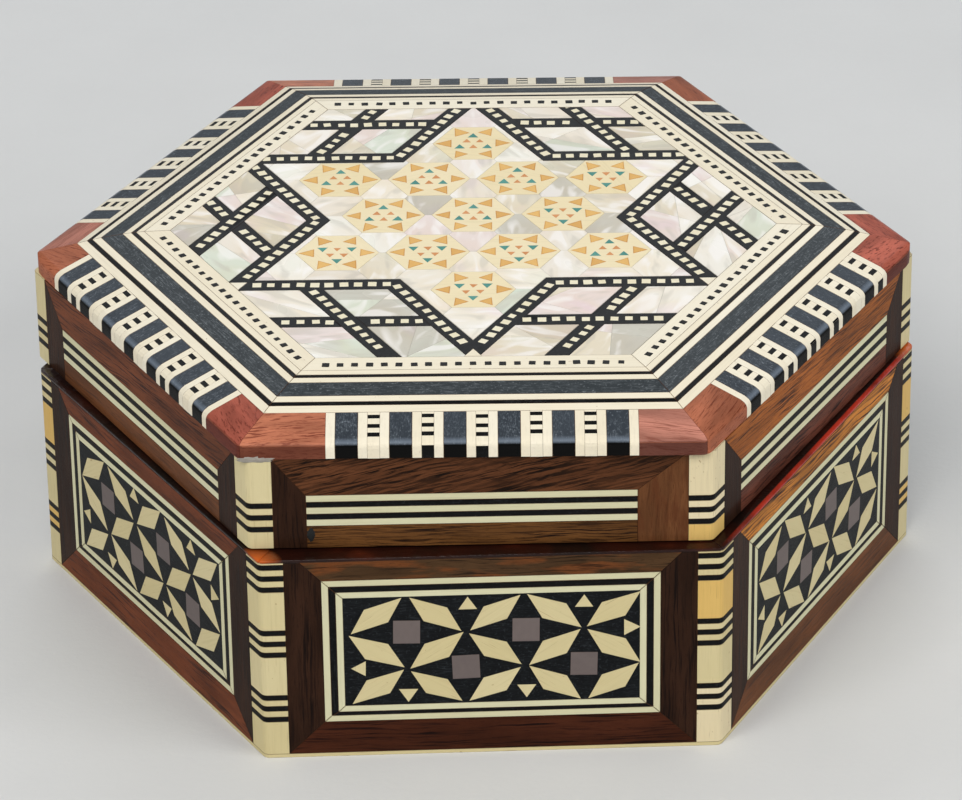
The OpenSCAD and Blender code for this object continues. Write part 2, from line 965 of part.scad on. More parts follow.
base_floor_board();
base_walls();
base_wall_back();
base_foot_line();
base_top_strips();
base_post_blocks();
base_post_bands();
base_stiles();
base_top_rails();
base_bottom_rails();
base_frame_outer();
base_frame_black();
base_frame_inner();
mosaic_ground();
mosaic_lozenges();
mosaic_squares();
mosaic_triangles();
base_lining_floor();
base_lining_walls();
base_hinge_leaves();
base_hinge_screws();
hinge_pins();
lid_board();
lid_walls();
lid_wall_back();
lid_post_blocks();
lid_post_bands();
lid_stiles();
lid_top_rails();
lid_bottom_rails();
lid_bone_lines();
lid_black_lines();
moulding_corners();
moulding_cream_strips();
moulding_black_blocks();
moulding_checks();
border_bone_outer();
border_black_outer();
border_bone_second();
border_black_wide();
border_bone_third();
border_black_inner();
border_bone_inner();
border_dotted();
border_dots();
star_strips();
star_strip_squares();
star_tip_pieces();
shell_panels();
small_stars();
small_star_amber();
small_star_green();
lid_lining_top();
lid_lining_walls();
lid_hinge_leaves();
lid_hinge_screws();
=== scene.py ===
"""Looks of the hexagonal inlaid wooden box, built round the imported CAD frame.

Units are metres. Sizes that are given in millimetres are multiplied by MM where they are used.
"""
import json
import math
import random

import bmesh
import bpy
import numpy as np
from mathutils import Matrix, Vector, noise

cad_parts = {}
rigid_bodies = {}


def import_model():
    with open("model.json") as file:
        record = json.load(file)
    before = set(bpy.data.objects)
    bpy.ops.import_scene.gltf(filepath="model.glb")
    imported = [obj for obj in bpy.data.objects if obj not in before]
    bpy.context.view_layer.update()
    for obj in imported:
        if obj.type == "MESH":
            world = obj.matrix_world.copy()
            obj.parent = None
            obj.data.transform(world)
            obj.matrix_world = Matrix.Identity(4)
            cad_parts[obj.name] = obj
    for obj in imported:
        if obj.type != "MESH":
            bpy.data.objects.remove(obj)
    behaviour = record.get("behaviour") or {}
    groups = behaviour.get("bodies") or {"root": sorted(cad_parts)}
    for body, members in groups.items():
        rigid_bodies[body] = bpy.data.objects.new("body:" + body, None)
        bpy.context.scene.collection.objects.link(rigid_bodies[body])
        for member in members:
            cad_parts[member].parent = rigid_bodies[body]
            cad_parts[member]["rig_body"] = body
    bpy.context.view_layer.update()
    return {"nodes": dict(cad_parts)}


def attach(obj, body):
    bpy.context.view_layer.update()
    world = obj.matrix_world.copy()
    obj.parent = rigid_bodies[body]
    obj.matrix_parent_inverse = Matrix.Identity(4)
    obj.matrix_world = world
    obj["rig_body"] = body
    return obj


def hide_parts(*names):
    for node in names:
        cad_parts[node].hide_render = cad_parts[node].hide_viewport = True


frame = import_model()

MM = 0.001
NODES = frame["nodes"]
UP = (0, 0, 1)


def set_on_base(shift, twist):
    """Frame of something moved by a shift in millimetres and turned by a twist in degrees."""
    return Matrix.Translation(Vector(shift) * MM) @ Matrix.Rotation(math.radians(twist), 4, "Z")


# The lid's walls and the top's inlay are set back and turned on the base, as in the CAD parameters
TO_LID = set_on_base((-0.3, 2.8, 0), -1.0)
TO_TOP = set_on_base((-0.3, 2.4, 0), -1.9)
FROM_TOP = TO_TOP.inverted()
TOP_Z = 62.0 * MM
DOME_Z = 60.0 * MM  # nothing above this height belongs to a side
STAR_SHIFT = Vector((0, 4.5, 0)) * MM
STAR_PITCH = 15.3 * MM
INLAY_DEPTH = 1.2 * MM
INLAY_PROUD = 0.012 * MM

# Mesh cleaning: vertices nearer than WELD are one, and faces that meet flatter than FLAT, in radians, are one
WELD = 2e-6
FLAT = 0.005
SHARP = 0.5  # edges that turn more than this, in radians, get a bevel
CUT_SNAP = 1e-7
TOP_SLACK = 0.2 * MM


# ---------------------------------------------------------------- materials

GLUE = (0.09, 0.035, 0.012)
LACQUERED = {"coat_weight": 0.15, "coat_roughness": 0.12, "coat_ior": 1.25, "specular_ior_level": 0.03}


class Shader:
    """A small helper to build a Principled material from nodes."""

    def __init__(self, name, **values):
        self.material = bpy.data.materials.new(name)
        self.material.use_nodes = True
        self.tree = self.material.node_tree
        self.bsdf = next(n for n in self.tree.nodes if n.type == "BSDF_PRINCIPLED")
        for key, value in values.items():
            self.bsdf.inputs[key.replace("_", " ").title().replace("Ior", "IOR")].default_value = value

    def put(self, socket, value):
        """Links or sets a socket. None leaves it as it is."""
        if isinstance(value, bpy.types.NodeSocket):
            self.tree.links.new(value, socket)
        elif value is not None:
            socket.default_value = value

    def node(self, kind, inputs=(), out=0, **settings):
        n = self.tree.nodes.new("ShaderNode" + kind)
        for key, value in settings.items():
            setattr(n, key, value)
        for key, value in dict(inputs).items():
            self.put(n.inputs[key], value)
        return n.outputs[out]

    def attribute(self, name, out="Fac"):
        return self.node("Attribute", out=out, attribute_name=name)

    def place(self):
        return self.node("TexCoord", out="Object")

    def height(self):
        """Height above the floor, in millimetres."""
        return self.math("MULTIPLY", self.node("SeparateXYZ", {0: self.place()}, out=2), 1 / MM)

    def grain(self, along, across, slope=0.0):
        """Piece coordinates divided by a mark's size in millimetres along and across the grain."""
        return self.node("Mapping", {"Vector": self.attribute("uvw", "Vector"),
                                     "Scale": (along, across, across),
                                     "Rotation": (0, 0, math.radians(slope))}, vector_type="TEXTURE")

    def noise(self, vector, detail=3.0, rough=0.55, distortion=0.0, scale=1.0):
        return self.node("TexNoise", {"Vector": vector, "Scale": scale, "Detail": detail,
                                      "Roughness": rough, "Distortion": distortion})

    def ramp(self, fac, *stops, steps=False):
        """Colour ramp from (position, colour) stops."""
        n = self.tree.nodes.new("ShaderNodeValToRGB")
        ramp = n.color_ramp
        ramp.interpolation = "CONSTANT" if steps else "LINEAR"
        while len(ramp.elements) < len(stops):
            ramp.elements.new(0.5)
        for e, (position, colour) in zip(ramp.elements, stops):
            e.position = position
            e.color = (*colour, 1)
        self.put(n.inputs[0], fac)
        return n.outputs[0]

    def span(self, value, low, high, to_low=0.0, to_high=1.0):
        """Maps the range from low to high onto to_low to to_high, and holds the ends."""
        return self.node("MapRange", {0: value, 1: low, 2: high, 3: to_low, 4: to_high}, clamp=True)

    def math(self, operation, a, b):
        return self.node("Math", {0: a, 1: b}, operation=operation)

    def times(self, a, b):
        return self.math("MULTIPLY", a, b)

    def dot(self, a, b):
        return self.node("VectorMath", {0: a, 1: b}, operation="DOT_PRODUCT", out=1)

    def mix(self, fac, a, b, blend="MIX"):
        """Mixes two colours, given as sockets or as red, green and blue."""
        n = self.tree.nodes.new("ShaderNodeMix")
        n.data_type = "RGBA"
        n.blend_type = blend
        for number, value in ((0, fac), (6, a), (7, b)):
            self.put(n.inputs[number], (*value, 1) if isinstance(value, tuple) else value)
        return n.outputs[2]

    def near(self, point, full, none):
        """1 within the distance full of a point in millimetres, falling to 0 at the distance none."""
        at = tuple(c * MM for c in point)
        gap = self.node("VectorMath", {0: self.place(), 1: at}, operation="DISTANCE", out=1)
        return self.span(gap, full * MM, none * MM, 1, 0)

    def bump(self, height, distance, strength=1.0, normal=None):
        """Bump with its distance in millimetres."""
        return self.node("Bump", {"Height": height, "Distance": distance * MM, "Strength": strength,
                                  "Normal": normal})

    def lacquer_waves(self, depth=0.02):
        """Slow orange-peel waves of brushed lacquer."""
        return self.bump(self.noise(self.place(), 2.0, scale=420.0), depth)

    def finish(self, colour, roughness=None, normal=None, coat_normal=None, glue=None, share=0.75):
        """Joins the looks to the shader, with dark glue in the joints where a glue colour is given."""
        if glue:
            colour = self.mix(self.times(self.attribute("edge"), share), colour, glue)
        for socket, value in (("Base Color", colour), ("Roughness", roughness), ("Normal", normal),
                              ("Coat Normal", coat_normal)):
            self.put(self.bsdf.inputs[socket], value)
        return self.material


def scaled(colour, factor):
    return tuple(factor * c for c in colour)


def bone(name, light, dark, speck=0.62, cracks=0.0):
    """Polished bone: fine streaks, clouds of tone, a few brown specks and, on old pieces, hair cracks."""
    s = Shader(name, **LACQUERED)
    streaks = s.noise(s.grain(9, 0.35), 4.0)
    clouds = s.noise(s.grain(6, 3), 2.0)
    share = s.math("ADD", s.times(s.attribute("tone"), 0.55), s.times(clouds, 0.45))
    colour = s.mix(share, light, dark)
    colour = s.mix(s.span(streaks, 0.52, 0.8, 0, 0.35), colour, scaled(dark, 0.72))
    dots = s.noise(s.grain(0.9, 0.6), 1.0)
    colour = s.mix(s.span(dots, speck + 0.14, speck + 0.2, 0, 0.5), colour, (0.25, 0.12, 0.04))
    if cracks:
        hairs = s.noise(s.grain(7, 0.14), 2.0)
        colour = s.mix(s.span(hairs, 0.68, 0.73, 0, cracks), colour, (0.22, 0.11, 0.05))
    rough = s.span(streaks, 0.3, 0.8, 0.28, 0.45)
    return s.finish(colour, rough, s.bump(streaks, 0.02), s.lacquer_waves(), GLUE)


def ebony(name, base, scratch, amount=0.5, drop=None):
    """Black wood or horn with fine scratches.

    Below the height drop, in millimetres, it is painted plain black as shade, with a painted highlight along the
    nose above.
    """
    s = Shader(name, **LACQUERED)
    fine = s.noise(s.grain(2.5, 0.12), 5.0, 0.7)
    specks = s.noise(s.grain(0.5, 0.4), 3.0, 0.6)
    patches = s.noise(s.grain(2.2, 1.6), 4.0, 0.65)
    marks = s.times(s.span(fine, 0.5, 0.7), s.span(patches, 0.38, 0.62))
    marks = s.math("ADD", marks, s.times(s.span(specks, 0.58, 0.68), 0.5))
    colour = s.mix(s.times(marks, amount), base, scratch)
    colour = s.mix(s.span(s.attribute("tone"), 0, 1, 0, 0.5), colour, scaled(base, 1.6))
    if drop:
        # Painted highlight along the moulding's nose, and painted shade: plain black below the height drop
        nose_highlight = s.times(s.span(s.height(), drop + 0.1, drop + 0.4), s.span(s.height(), drop + 0.9, drop + 0.5))
        colour = s.mix(s.times(nose_highlight, 0.45), colour, (0.24, 0.29, 0.36))
        colour = s.mix(s.span(s.height(), drop, drop + 0.15), (0.004, 0.004, 0.004), colour)
    rough = s.span(patches, 0.3, 0.75, 0.3, 0.5)
    return s.finish(colour, rough, s.bump(fine, 0.02), s.lacquer_waves(0.03), GLUE)


def wood(name, light, dark, line=0.35, length=9.0, at=(0.52, 0.62), slope=0.0, blotch=None, drop=None):
    """Lacquered hardwood: crisp dark grain lines that come and go, short pores and slow changes of tone.

    A line is this wide and long in millimetres, fills this range of the noise and slopes by this many degrees.
    """
    s = Shader(name, **LACQUERED)
    clouds = s.noise(s.grain(18, 3.5, slope))
    colour = s.mix(s.span(clouds, 0.35, 0.65), scaled(light, 0.7), scaled(light, 1.25))
    if blotch:
        colour = s.mix(s.span(s.noise(s.grain(9, 2.2)), 0.5, 0.62), colour, blotch)
    drift = s.times(s.math("SUBTRACT", s.noise(s.grain(14, 6), 2.0), 0.5), 1.8 / line)
    sideways = s.node("CombineXYZ", {1: drift})
    bent = s.node("VectorMath", {0: s.grain(length, line, slope), 1: sideways}, operation="ADD")
    figure = s.noise(bent, 3.0, 0.6)
    strength = s.span(s.noise(s.grain(11, 2.5), 2.0), 0.32, 0.6, 0.35, 1)
    colour = s.mix(s.times(s.span(figure, *at), strength), colour, dark)
    pore = s.noise(s.grain(1.5, 0.1, slope), 2.0, 0.5)
    colour = s.mix(s.span(pore, 0.6, 0.7, 0, 0.55), colour, scaled(dark, 0.6))
    # Below the height drop, in millimetres, the moulding's drop is painted dark as shade under its nose
    if drop:
        colour = s.mix(s.span(s.height(), drop, drop + 0.3, 0.8, 0), colour, (0.05, 0.012, 0.008))
    colour = s.mix(s.times(s.attribute("tone"), 0.25), colour, dark)
    rough = s.span(figure, 0.3, 0.7, 0.5, 0.36)
    normal = s.bump(figure, 0.04, 0.7, s.bump(pore, -0.03))
    return s.finish(colour, rough, normal, s.lacquer_waves(0.03), scaled(dark, 0.5))


def pearl():
    """Mother-of-pearl: each shard has its own tone, soft curved growth bands with painted highlight and painted
    shade along them, and a tilted sheen under lacquer.
    """
    s = Shader("mother_of_pearl", coat_weight=0.3, coat_roughness=0.08, coat_ior=1.3, specular_ior_level=0.25)
    flow = s.noise(s.grain(8, 2.8), 1.5, 0.4, 0.7)
    hue = s.noise(s.grain(11, 8), 1.0, 0.5, 0.5)
    body = s.ramp(s.attribute("tone"), (0.0, (0.58, 0.52, 0.39)), (0.14, (0.74, 0.68, 0.60)),
                  (0.32, (0.50, 0.47, 0.40)), (0.44, (0.78, 0.72, 0.62)), (0.60, (0.72, 0.62, 0.60)),
                  (0.70, (0.60, 0.64, 0.54)), (0.75, (0.68, 0.61, 0.48)), (0.90, (0.79, 0.75, 0.68)),
                  steps=True)
    tint = s.ramp(hue, (0.26, (0.94, 0.98, 0.91)), (0.42, (1.0, 0.98, 0.92)), (0.58, (1.0, 0.94, 0.82)),
                  (0.74, (1.0, 0.90, 0.93)))
    colour = s.mix(0.8, body, tint, "MULTIPLY")
    # Painted highlight along the light growth bands, and painted shade along the dark ones
    colour = s.mix(s.span(flow, 0.53, 0.66, 0, 0.6), colour, (0.88, 0.84, 0.80))
    colour = s.mix(s.span(flow, 0.46, 0.34, 0, 0.4), colour, (0.42, 0.38, 0.30))
    tilt = s.dot(s.attribute("tilt", "Vector"), s.attribute("uvw", "Vector"))
    height = s.math("ADD", tilt, s.times(flow, 0.08))
    return s.finish(colour, s.span(hue, 0.3, 0.7, 0.25, 0.4), s.bump(height, 1), s.lacquer_waves(0.01),
                    (0.36, 0.34, 0.29), 0.6)


def stain(name, light, dark, mark=1.2, rim=GLUE):
    """Small coloured inlay with mottled tone and a darker rim."""
    s = Shader(name, **LACQUERED)
    mottle = s.noise(s.grain(mark, mark / 2))
    share = s.math("ADD", s.times(s.attribute("tone"), 0.6), s.times(mottle, 0.5))
    fine = s.noise(s.grain(0.4, 0.25))
    return s.finish(s.mix(share, light, dark), s.span(fine, 0.3, 0.7, 0.3, 0.45), s.bump(fine, 0.01),
                    s.lacquer_waves(), rim)


# Distance of the ledge's rim from the box's axis, beyond which its red lacquer is painted lit, and where painted
# red light and painted orange glints lie on it, in millimetres
LEDGE_RIM = 64.35 * MM
LEDGE_RIM_BLUR = 0.2 * MM
LIT_RED_LEDGE = (58, -30, 38)
ORANGE_GLINT_CORNERS = ((-38.5, -65.5, 38), (76, 0, 38))
RIGHT_FRONT = (math.cos(math.radians(30)), -0.5, 0)


def lacquer():
    """Thick red lacquer pooled on the ledge: painted nearly black as shade under the lid, with thin stretches of
    painted red light and painted orange glints at some corners.
    """
    s = Shader("red_lacquer", coat_weight=0.3, coat_roughness=0.08, specular_ior_level=0.1, roughness=0.35)
    pools = s.noise(s.place(), 3.0, 0.6, scale=90.0)
    # Nearly black: the red lacquer painted in shade under the lid
    colour = s.ramp(pools, (0.35, (0.006, 0.003, 0.002)), (0.6, (0.020, 0.004, 0.002)),
                    (0.8, (0.07, 0.012, 0.004)))
    rim = s.span(s.dot(s.place(), RIGHT_FRONT), LEDGE_RIM - LEDGE_RIM_BLUR, LEDGE_RIM)
    # Painted red light on the lacquer's outer rim at the right front
    red = s.times(s.times(s.near(LIT_RED_LEDGE, 24, 40), rim), s.span(pools, 0.35, 0.55, 0.4, 1))
    colour = s.mix(red, colour, (0.46, 0.03, 0.012))
    # Painted orange glints at two corners
    orange = s.math("MAXIMUM", s.near(ORANGE_GLINT_CORNERS[0], 1.5, 5), s.near(ORANGE_GLINT_CORNERS[1], 2.5, 6))
    colour = s.mix(orange, colour, (0.52, 0.10, 0.012))
    beads = s.noise(s.place(), 2.0, 0.6, scale=900.0)
    return s.finish(colour, None, s.bump(beads, 0.10), s.bump(beads, 0.15), GLUE)


def core_wood():
    """Stained plain timber of the inner boards, which carry no piece attributes."""
    s = Shader("core_wood", coat_weight=0.25, coat_roughness=0.35)
    bands = s.noise(s.node("Mapping", {"Vector": s.place(), "Scale": (60, 700, 700)}), 5.0, 0.6, 0.4)
    colour = s.ramp(bands, (0.3, (0.07, 0.025, 0.012)), (0.5, (0.20, 0.08, 0.035)), (0.7, (0.33, 0.15, 0.07)))
    return s.finish(colour, s.span(bands, 0.3, 0.7, 0.65, 0.45), s.bump(bands, 0.08))


def metal(name, light, dark, rough):
    """Metal with stains that are darker and rougher, and fine scratches along its length."""
    s = Shader(name, metallic=1.0)
    stains = s.noise(s.place(), 4.0, 0.6, scale=300.0)
    scratches = s.noise(s.node("Mapping", {"Vector": s.place(), "Scale": (400, 6000, 6000)}))
    return s.finish(s.mix(s.span(stains, 0.35, 0.7), light, dark), s.span(stains, 0.3, 0.7, rough, rough + 0.25),
                    s.bump(scratches, 0.01))


def velvet():
    """Red velvet: a crushed nap in slow waves, with a fine pile and a sheen."""
    s = Shader("red_velvet", roughness=0.95, sheen_weight=0.7, sheen_roughness=0.4, specular_ior_level=0.1,
               sheen_tint=(1.0, 0.35, 0.3, 1))
    nap = s.noise(s.place(), 3.0, 0.6, 0.8, scale=60.0)
    pile = s.noise(s.place(), 2.0, 0.7, scale=5200.0)
    colour = s.ramp(nap, (0.3, (0.14, 0.004, 0.006)), (0.55, (0.27, 0.010, 0.014)), (0.75, (0.40, 0.022, 0.026)))
    colour = s.mix(s.span(pile, 0.3, 0.7, 0, 0.45), colour, (0.07, 0.002, 0.003))
    return s.finish(colour, None, s.bump(pile, 0.25, 1.0, s.bump(nap, 0.5)))


# Height in millimetres of the moulding's nose, below which its pieces face sideways and are painted darker as shade
NOSE = 57.3

BONE_TOP = bone("bone_top", (0.865, 0.805, 0.66), (0.79, 0.70, 0.52))
BONE_SIDE = bone("bone_side", (0.70, 0.61, 0.36), (0.62, 0.52, 0.27), cracks=0.5)
BONE_PALE = bone("bone_pale", (0.80, 0.69, 0.46), (0.72, 0.61, 0.38), 0.56, 0.7)
BONE_GOLD = bone("bone_gold", (0.74, 0.50, 0.17), (0.66, 0.42, 0.12), cracks=0.5)
BONE_LINE = bone("bone_line", (0.70, 0.68, 0.46), (0.63, 0.59, 0.37), 0.7)
BONE_STAR = bone("bone_star", (0.84, 0.73, 0.49), (0.78, 0.65, 0.38), 0.75)
BONE_SQUARE = bone("bone_square", (0.84, 0.78, 0.60), (0.76, 0.68, 0.47), 0.7)
EBONY = ebony("ebony", (0.005, 0.005, 0.005), (0.05, 0.055, 0.06))
EBONY_GROUND = ebony("ebony_ground", (0.007, 0.008, 0.009), (0.07, 0.08, 0.09), 0.45)
# The wide black band's slate-blue base is a painted reflection of the sky; its light scratches are real wear
EBONY_WORN_AND_SHEEN = ebony("ebony_worn_and_sheen", (0.034, 0.040, 0.044), (0.30, 0.33, 0.35), 0.7)
# The horn's slate-blue base is a painted reflection of the sky on the moulding's slope, and below the nose it is
# painted black as shade
HORN = ebony("horn", (0.034, 0.041, 0.050), (0.27, 0.31, 0.35), 0.75, drop=NOSE)
WOODS = {
    "diagonal": wood("wood_diagonal", (0.116, 0.042, 0.017), (0.009, 0.005, 0.003), 0.34, 6.5, (0.46, 0.54),
                     14),
    "olive": wood("wood_olive", (0.160, 0.066, 0.019), (0.013, 0.006, 0.004), 0.25, 8, (0.52, 0.58)),
    "mottled": wood("wood_mottled", (0.070, 0.036, 0.016), (0.016, 0.009, 0.005), 0.4, 10, (0.54, 0.64),
                    blotch=(0.15, 0.050, 0.016)),
    "red_dark": wood("wood_red_dark", (0.058, 0.016, 0.007), (0.010, 0.004, 0.003), 0.4, 12),
    "stile": wood("wood_stile", (0.036, 0.015, 0.008), (0.008, 0.004, 0.003), 0.4, 12),
    "patch": wood("wood_patch", (0.170, 0.066, 0.025), (0.075, 0.028, 0.011), 0.6, 8, (0.5, 0.7),
                  blotch=(0.12, 0.040, 0.015)),
    "red_streaked": wood("wood_red_streaked", (0.190, 0.055, 0.021), (0.020, 0.007, 0.004), 0.35, 9,
                         (0.5, 0.6), 4),
    "brown": wood("wood_brown", (0.145, 0.052, 0.019), (0.045, 0.016, 0.007), 0.5, 12, (0.52, 0.66)),
    "reddish": wood("wood_reddish", (0.170, 0.045, 0.016), (0.032, 0.010, 0.005), 0.45, 10, (0.52, 0.64)),
    "orange": wood("wood_orange", (0.620, 0.230, 0.036), (0.040, 0.011, 0.004), 0.45, 12, (0.48, 0.58), -3),
    "tawny": wood("wood_tawny", (0.390, 0.118, 0.023), (0.045, 0.013, 0.005), 0.35, 9, (0.49, 0.60), -4),
    "purple": wood("wood_purple", (0.155, 0.050, 0.030), (0.016, 0.007, 0.005), 0.5, 6, (0.48, 0.62)),
    "padauk_pink": wood("padauk_pink", (0.44, 0.115, 0.075), (0.14, 0.028, 0.018), 0.4, 1.8, (0.54, 0.62),
                        drop=NOSE),
    "padauk_orange": wood("padauk_orange", (0.56, 0.20, 0.110), (0.20, 0.050, 0.030), 0.3, 3.0, (0.53, 0.6),
                          drop=NOSE),
    "padauk_mauve": wood("padauk_mauve", (0.48, 0.20, 0.145), (0.24, 0.080, 0.055), 0.25, 7, (0.5, 0.62),
                         drop=NOSE),
    "padauk_brown": wood("padauk_brown", (0.37, 0.12, 0.062), (0.15, 0.034, 0.016), 0.3, 4, (0.54, 0.64)),
}
PEARL = pearl()
GREY_SHELL = stain("grey_shell", (0.19, 0.155, 0.145), (0.13, 0.105, 0.10), 2.0)
AMBER = stain("amber", (0.66, 0.35, 0.09), (0.54, 0.25, 0.05), rim=(0.36, 0.14, 0.02))
AMBER_LIGHT = stain("amber_light", (0.80, 0.50, 0.16), (0.64, 0.34, 0.09), 0.8)
AMBER_HEART = stain("amber_heart", (0.68, 0.31, 0.12), (0.58, 0.24, 0.08), rim=(0.48, 0.19, 0.06))
GREEN = stain("green", (0.10, 0.32, 0.27), (0.05, 0.22, 0.19), rim=(0.05, 0.16, 0.13))
PUTTY_WHITE = stain("putty_white", (0.62, 0.60, 0.54), (0.22, 0.19, 0.16), 1.0)
PUTTY_GREY = stain("putty_grey", (0.035, 0.038, 0.038), (0.012, 0.012, 0.012), 1.0)
LACQUER = lacquer()
CORE = core_wood()
BRASS = metal("brass", (0.80, 0.58, 0.24), (0.42, 0.27, 0.10), 0.22)
STEEL = metal("steel", (0.55, 0.54, 0.52), (0.30, 0.28, 0.26), 0.3)
VELVET = velvet()


# ------------------------------------------------------------ piece making

def rng_for(name):
    return random.Random("box " + name)


def loaded(nodes):
    """One bmesh of CAD nodes."""
    bm = bmesh.new()
    for n in nodes:
        bm.from_mesh(NODES[n].data)
    return bm


def whole_faces(bm):
    """Turns the triangles of each flat face into one face."""
    bmesh.ops.dissolve_limit(bm, angle_limit=FLAT, verts=bm.verts, edges=bm.edges)


def simplified(bm):
    """Joins shared vertices and makes each flat face whole."""
    bmesh.ops.remove_doubles(bm, verts=bm.verts, dist=WELD)
    whole_faces(bm)
    return bm


def welded(*nodes):
    return simplified(loaded(nodes))


def filled_tops(*nodes):
    """The flat upper faces of CAD nodes that lie edge to edge, joined into one outline each, with no holes."""
    bm = loaded(nodes)
    bm.normal_update()
    low = [f for f in bm.faces if f.normal.z < 0.9 or f.calc_center_median().z < TOP_Z - TOP_SLACK]
    bmesh.ops.delete(bm, geom=low, context="FACES")
    return simplified(bm)


def thicken(bm):
    """Grows flat faces at the top down into closed slabs."""
    made = bmesh.ops.extrude_face_region(bm, geom=bm.faces[:], use_keep_orig=True)
    bmesh.ops.translate(bm, verts=new_verts(made), vec=(0, 0, -INLAY_DEPTH))
    bmesh.ops.recalc_face_normals(bm, faces=bm.faces)


def new_verts(made):
    return [g for g in made["geom"] if isinstance(g, bmesh.types.BMVert)]


def faces_of(verts):
    return {f for v in verts if v.is_valid for f in v.link_faces}


def middle(verts):
    return sum((v.co for v in verts), Vector()) / len(verts)


def islands(bm):
    """Lists of connected vertices."""
    seen, found = set(), []
    for first in bm.verts:
        if first in seen:
            continue
        seen.add(first)
        group, front = [], [first]
        while front:
            v = front.pop()
            group.append(v)
            for e in v.link_edges:
                w = e.other_vert(v)
                if w not in seen:
                    seen.add(w)
                    front.append(w)
        found.append(group)
    return found


def hulls(bm):
    """Each island's convex hull, so that a ground loses the holes cut for its inlay."""
    out = bmesh.new()
    for group in islands(bm):
        verts = [out.verts.new(v.co) for v in group]
        made = bmesh.ops.convex_hull(out, input=verts)
        bmesh.ops.delete(out, geom=made["geom_interior"], context="VERTS")
    whole_faces(out)
    bmesh.ops.recalc_face_normals(out, faces=out.faces)
    bm.free()
    return out


def axes_of(points, along=None):
    """Centre of a piece, and its long, middle and short directions. along, if given, is the long one."""
    p = np.array(points)
    c = p.mean(0)
    directions = np.linalg.eigh(np.cov((p - c).T))[1]
    e1 = np.array(along, float) if along is not None else directions[:, 2]
    e3 = directions[:, 0] - e1 * (directions[:, 0] @ e1)
    if np.linalg.norm(e3) < 0.2:  # along is the shortest direction itself
        e3 = directions[:, 1] - e1 * (directions[:, 1] @ e1)
    e3 /= np.linalg.norm(e3)
    if e1[np.argmax(abs(e1))] < 0:
        e1 = -e1
    if e3 @ np.array(outward(c)) < 0:
        e3 = -e3
    return c, np.array([e1, np.cross(e3, e1), e3])


def jitter(bm, rng, shift=0.08, size=0.05, turn=2.0, lift=INLAY_PROUD):
    """Small hand-made differences in the place, size and turn of each small piece in its own plane.

    They are standard deviations, in millimetres, as a share and in degrees.
    """
    for group in islands(bm):
        c = Vector(axes_of([v.co for v in group])[0])
        normal = Vector(outward(c))
        spin = Matrix.Rotation(math.radians(rng.gauss(0, turn)), 3, normal)
        slide = Vector([rng.gauss(0, shift * MM) for _ in range(3)])
        slide -= normal * slide.dot(normal)
        grow = 1 + rng.gauss(0, size)
        for v in group:
            d = v.co - c
            flat = d - normal * d.dot(normal)
            v.co = c + spin @ (flat * grow) + normal * d.dot(normal) + slide + normal * lift


def side_of(c):
    """Number of the box's side at a point: 0 is the front, and they go round to the right."""
    return round((math.degrees(math.atan2(c[1], c[0])) + 90) / 60) % 6


def corner_of(c):
    """Number of the box's corner at a point: 0 is at the front right, and 5 at the front left."""
    return round((math.degrees(math.atan2(c[1], c[0])) + 60) / 60) % 6


def side_normal(side):
    """Direction straight out of a side."""
    a = math.radians(60 * side - 90)
    return Vector((math.cos(a), math.sin(a), 0))


def outward(c):
    """Direction out of the box at a point: up on the top, or out of the nearest side."""
    return Vector(UP) if c[2] > DOME_Z else side_normal(side_of(c))


def sharp_edges(bm):
    return [e for e in bm.edges if len(e.link_faces) == 2 and e.calc_face_angle(0) > SHARP]


def exposed(f):
    """Whether a face of the moulding shows, and doesn't lie against a neighbour."""
    return f.normal.z > 0.3 or f.normal.dot(side_normal(side_of(f.calc_center_median()))) > 0.9


def bevelled(bm, edges, width, segments):
    """Bevels edges by a width in millimetres, and returns the new faces."""
    if not edges or not width:
        return []
    return bmesh.ops.bevel(bm, geom=edges, offset=width * MM, segments=segments, profile=0.5, affect="EDGES",
                           clamp_overlap=True)["faces"]


NOSE_STEPS = 3
# How far apart the grain of two pieces may lie in the noise, and how far a shard of pearl leans
GRAIN_SPREAD = 400
SHARD_TILT = 0.035


def number_solids(bm, rng, along):
    """Numbers the vertices of each solid, and returns each solid's centre, axes, place in the grain, tone and
    tilt."""
    number = bm.verts.layers.int.new("island")
    solids = []
    for i, group in enumerate(islands(bm)):
        c, axes = axes_of([v.co for v in group], along)
        offset = np.array([rng.uniform(0, GRAIN_SPREAD) for _ in range(3)])
        tone = rng.random()
        solids.append((c, axes, offset, tone, (rng.gauss(0, SHARD_TILT), rng.gauss(0, SHARD_TILT), 0.0)))
        for v in group:
            v[number] = i
    return solids


def grain_attributes(mesh, solids):
    """Gives each vertex its solid's grain coordinates in millimetres, tone and tilt, for the materials."""
    n = len(mesh.vertices)
    number, co = np.zeros(n, int), np.zeros(n * 3)
    mesh.attributes["island"].data.foreach_get("value", number)
    mesh.attributes.remove(mesh.attributes["island"])
    mesh.vertices.foreach_get("co", co)
    co = co.reshape(-1, 3)
    uvw, tones, tilts = np.zeros((n, 3)), np.zeros(n), np.zeros((n, 3))
    for i, (c, axes, offset, tone, tilt) in enumerate(solids):
        own = number == i
        uvw[own] = (co[own] - c) @ axes.T / MM + offset
        tones[own] = tone
        tilts[own] = tilt
    mesh.attributes.new("uvw", "FLOAT_VECTOR", "POINT").data.foreach_set("vector", uvw.ravel())
    mesh.attributes.new("tone", "FLOAT", "POINT").data.foreach_set("value", tones)
    mesh.attributes.new("tilt", "FLOAT_VECTOR", "POINT").data.foreach_set("vector", tilts.ravel())


